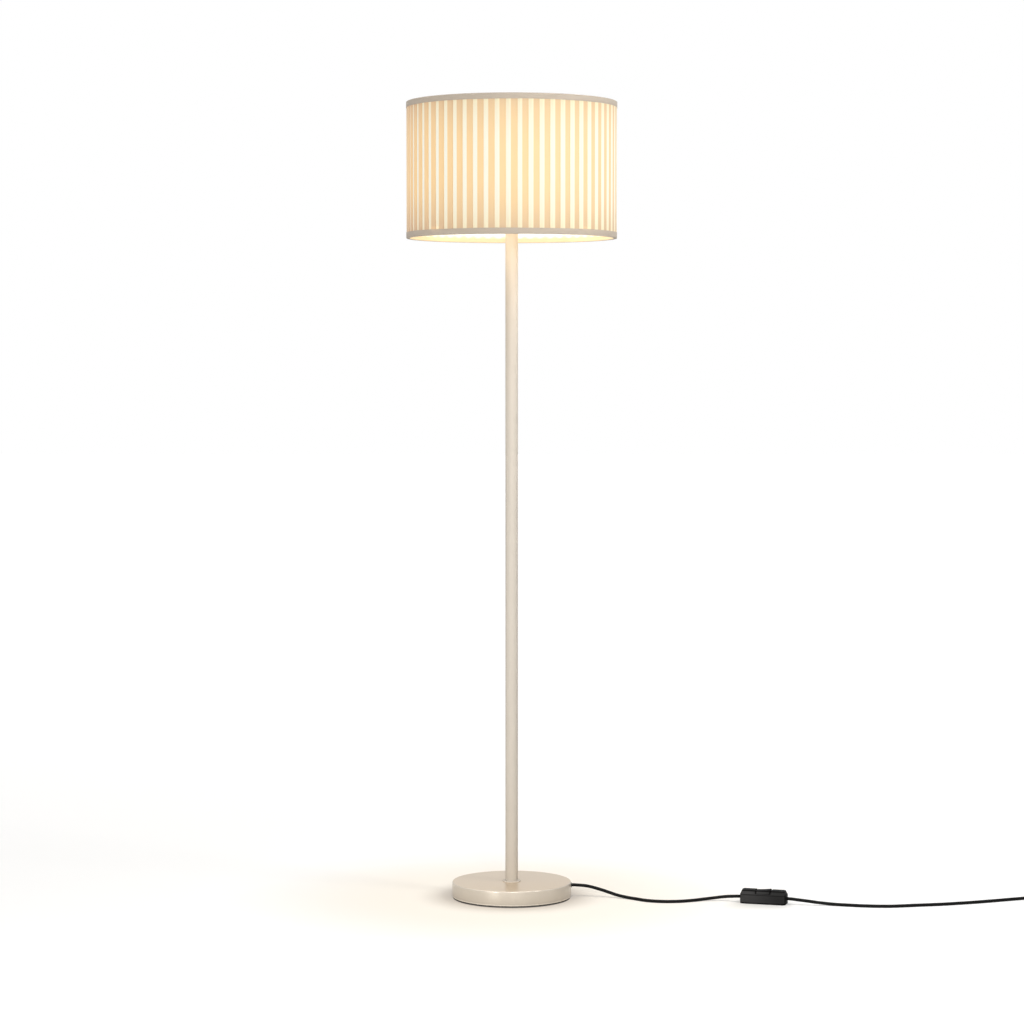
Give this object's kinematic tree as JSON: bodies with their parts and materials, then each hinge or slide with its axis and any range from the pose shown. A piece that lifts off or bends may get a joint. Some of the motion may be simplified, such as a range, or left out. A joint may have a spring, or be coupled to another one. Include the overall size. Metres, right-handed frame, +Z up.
{
  "type": "floor lamp",
  "caption": "Floor lamp with a knife-pleated drum shade on a straight slim pole and a round weighted base, with an in-line rocker switch on its mains lead.",
  "frame": {"origin": "on the floor, under the middle of the round base, which is also the pole's axis", "axes": "+Z up along the pole; the lead leaves the base towards +X; the picture was taken from -Y"},
  "size_m": [1.3094, 0.4, 1.5161],
  "materials": {
    "champagne_metal": "satin champagne beige lacquer",
    "steel": "plain zinc-plated steel",
    "brass": "plain brass",
    "cast_iron": "raw casting",
    "pad": "dark foam rubber",
    "white_plastic": "white thermoplastic",
    "black_plastic": "black moulded, satin",
    "black_cord": "black PVC sheath, satin",
    "wire_insulation": "coloured insulation",
    "ivory_cloth": "knife-pleated woven cloth",
    "rim_tape": "ribbed tape",
    "lining": "translucent white film",
    "opal": "opal dome"
  },
  "bodies": {
    "stand": {"felt_pad": "pad", "base_plate": "steel", "base_weight": "cast_iron", "base_cover": "champagne_metal", "base_washer": "steel", "base_nut": "steel", "base_nipple": "brass", "foot_collar": "champagne_metal", "foot_insert": "steel", "pole_tube": "champagne_metal", "top_insert": "steel", "top_nipple": "brass", "holder_cap": "white_plastic", "holder_body": "white_plastic", "terminal_block": "white_plastic", "terminal_screws": "brass", "thread_sleeve": "brass", "centre_contact": "brass", "cord_bush": "black_plastic", "inner_cord": "black_cord", "lead_wires": "wire_insulation", "cord_to_switch": "black_cord", "switch_base": "black_plastic", "switch_cover": "black_plastic", "switch_contacts": "brass", "switch_screws": "steel", "cord_to_coil": "black_cord", "cord_coil": "black_cord", "coil_tie": "black_plastic", "cord_tail": "black_cord", "plug_body": "black_plastic", "plug_pins": "brass"},
    "shade": {"fitter_spider": "steel", "lower_wire_ring": "steel", "upper_wire_ring": "steel", "shade_lining": "lining", "pleated_cloth": "ivory_cloth", "lower_tape": "rim_tape", "upper_tape": "rim_tape"},
    "ring": {"shade_ring": "white_plastic"},
    "bulb": {"bulb_globe": "opal", "bulb_housing": "white_plastic", "bulb_cap": "steel", "bulb_insulator": "black_plastic", "bulb_contact": "steel"},
    "rocker": {"switch_rocker": "black_plastic"}
  },
  "joints": [
    {"name": "shade_turn", "type": "hinge", "parent": "stand", "child": "shade", "pos_m": [0, 0, 1.3051], "axis": [0, 0, 1], "continuous": true},
    {"name": "shade_ring_travel", "type": "slide", "parent": "stand", "child": "ring", "axis": [0, 0, 1], "range_m": [0, 0.02]},
    {"name": "bulb_lift", "type": "slide", "parent": "stand", "child": "bulb", "axis": [0, 0, 1], "range_m": [0, 0.03]},
    {"name": "rocker_tilt", "type": "hinge", "parent": "stand", "child": "rocker", "pos_m": [0.4785, -0.0695, 0.0145], "axis": [0.2756, 0.9613, 0], "range_deg": [0, 9]}
  ]
}
